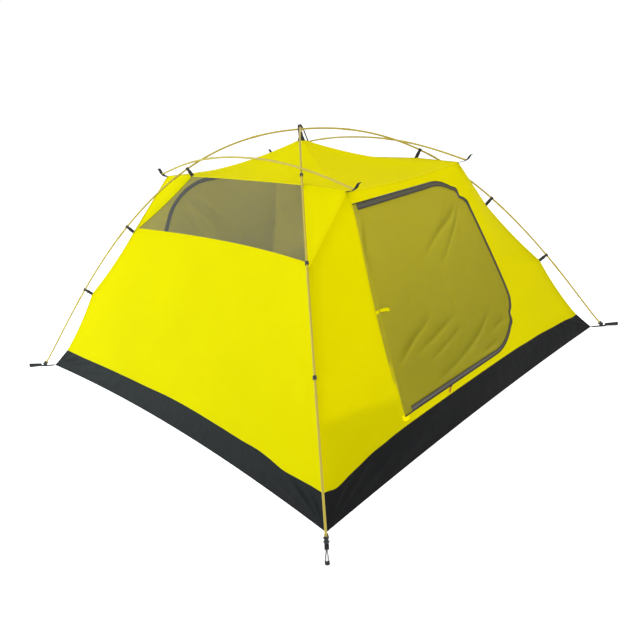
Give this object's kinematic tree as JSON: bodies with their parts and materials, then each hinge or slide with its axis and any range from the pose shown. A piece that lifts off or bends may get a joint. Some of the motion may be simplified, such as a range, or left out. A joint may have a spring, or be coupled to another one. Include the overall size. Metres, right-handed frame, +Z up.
{
  "type": "dome tent inner",
  "caption": "Freestanding yellow inner tent on crossed alloy poles, with short brow poles, D-shaped mesh doors, mesh windows and a dark tub floor.",
  "frame": {"origin": "on the ground under the middle of the floor, at the centre of the bounding box", "axes": "+Z up; +Y towards the rear door, along the longer side of the floor; +X towards the right window, seen from the front door"},
  "size_m": [2.311, 2.3546, 1.1842],
  "materials": {
    "yellow_nylon": "plain-weave cloth with a slight sheen",
    "window_mesh": "fine dark insect mesh",
    "door_mesh": "fine dark insect mesh over yellow cloth",
    "tub_cloth": "coated waterproof cloth",
    "zip_tape": "woven tape",
    "zip_chain": "coil",
    "black_plastic": "moulded",
    "black_webbing": "woven webbing",
    "gold_alloy": "pale gold anodised"
  },
  "bodies": {
    "tent": {"crown_cap": "black_plastic", "crown_strap": "black_webbing", "front_left_brow_tab": "black_webbing", "front_left_gusset": "yellow_nylon", "front_left_low_clip": "black_plastic", "front_left_mid_clip": "black_plastic", "front_left_pole_foot": "black_plastic", "front_left_strap": "black_webbing", "front_left_top_clip": "black_plastic", "front_right_brow_tab": "black_webbing", "front_right_gusset": "yellow_nylon", "front_right_low_clip": "black_plastic", "front_right_mid_clip": "black_plastic", "front_right_pole_foot": "black_plastic", "front_right_strap": "black_webbing", "front_right_top_clip": "black_plastic", "front_tub_wall": "tub_cloth", "front_wall": "yellow_nylon", "front_zip_chain": "zip_chain", "groundsheet": "tub_cloth", "left_brow_pole": "gold_alloy", "left_tub_wall": "tub_cloth", "left_wall": "yellow_nylon", "left_window": "window_mesh", "lower_long_pole": "gold_alloy", "rear_left_brow_tab": "black_webbing", "rear_left_gusset": "yellow_nylon", "rear_left_low_clip": "black_plastic", "rear_left_mid_clip": "black_plastic", "rear_left_pole_foot": "black_plastic", "rear_left_strap": "black_webbing", "rear_left_top_clip": "black_plastic", "rear_right_brow_tab": "black_webbing", "rear_right_gusset": "yellow_nylon", "rear_right_low_clip": "black_plastic", "rear_right_mid_clip": "black_plastic", "rear_right_pole_foot": "black_plastic", "rear_right_strap": "black_webbing", "rear_right_top_clip": "black_plastic", "rear_tub_wall": "tub_cloth", "rear_wall": "yellow_nylon", "rear_zip_chain": "zip_chain", "right_brow_pole": "gold_alloy", "right_tub_wall": "tub_cloth", "right_wall": "yellow_nylon", "right_window": "window_mesh", "roof": "yellow_nylon", "upper_long_pole": "gold_alloy"},
    "front_door": {"front_door_mesh": "door_mesh", "front_door_inner": "yellow_nylon", "front_zip_tape": "zip_tape"},
    "front_slider": {"front_zip_slider": "black_plastic"},
    "front_tie": {"front_tie_back": "yellow_nylon"},
    "rear_door": {"rear_door_mesh": "door_mesh", "rear_door_inner": "yellow_nylon", "rear_zip_tape": "zip_tape"},
    "rear_slider": {"rear_zip_slider": "black_plastic"},
    "rear_tie": {"rear_tie_back": "yellow_nylon"}
  },
  "joints": [
    {"name": "front_door_swing", "type": "hinge", "parent": "tent", "child": "front_door", "pos_m": [-0.4417, -0.81938, 0.53213], "axis": [-0.1336, -0.3727, -0.9183], "range_deg": [0, 130]},
    {"name": "front_zip_travel", "type": "slide", "parent": "front_door", "child": "front_slider", "axis": [1, 0, 0], "range_m": [-0.28, 0.35]},
    {"name": "front_tie_back_lift", "type": "hinge", "parent": "front_door", "child": "front_tie", "pos_m": [-0.43814, -0.82414, 0.52651], "axis": [-0.1336, -0.3727, -0.9183], "range_deg": [0, 45]},
    {"name": "rear_door_swing", "type": "hinge", "parent": "tent", "child": "rear_door", "pos_m": [0.4417, 0.81938, 0.53213], "axis": [0.1336, 0.3727, -0.9183], "range_deg": [0, 130]},
    {"name": "rear_zip_travel", "type": "slide", "parent": "rear_door", "child": "rear_slider", "axis": [-1, 0, 0], "range_m": [-0.28, 0.35]},
    {"name": "rear_tie_back_lift", "type": "hinge", "parent": "rear_door", "child": "rear_tie", "pos_m": [0.43814, 0.82414, 0.52651], "axis": [0.1336, 0.3727, -0.9183], "range_deg": [0, 45]}
  ]
}
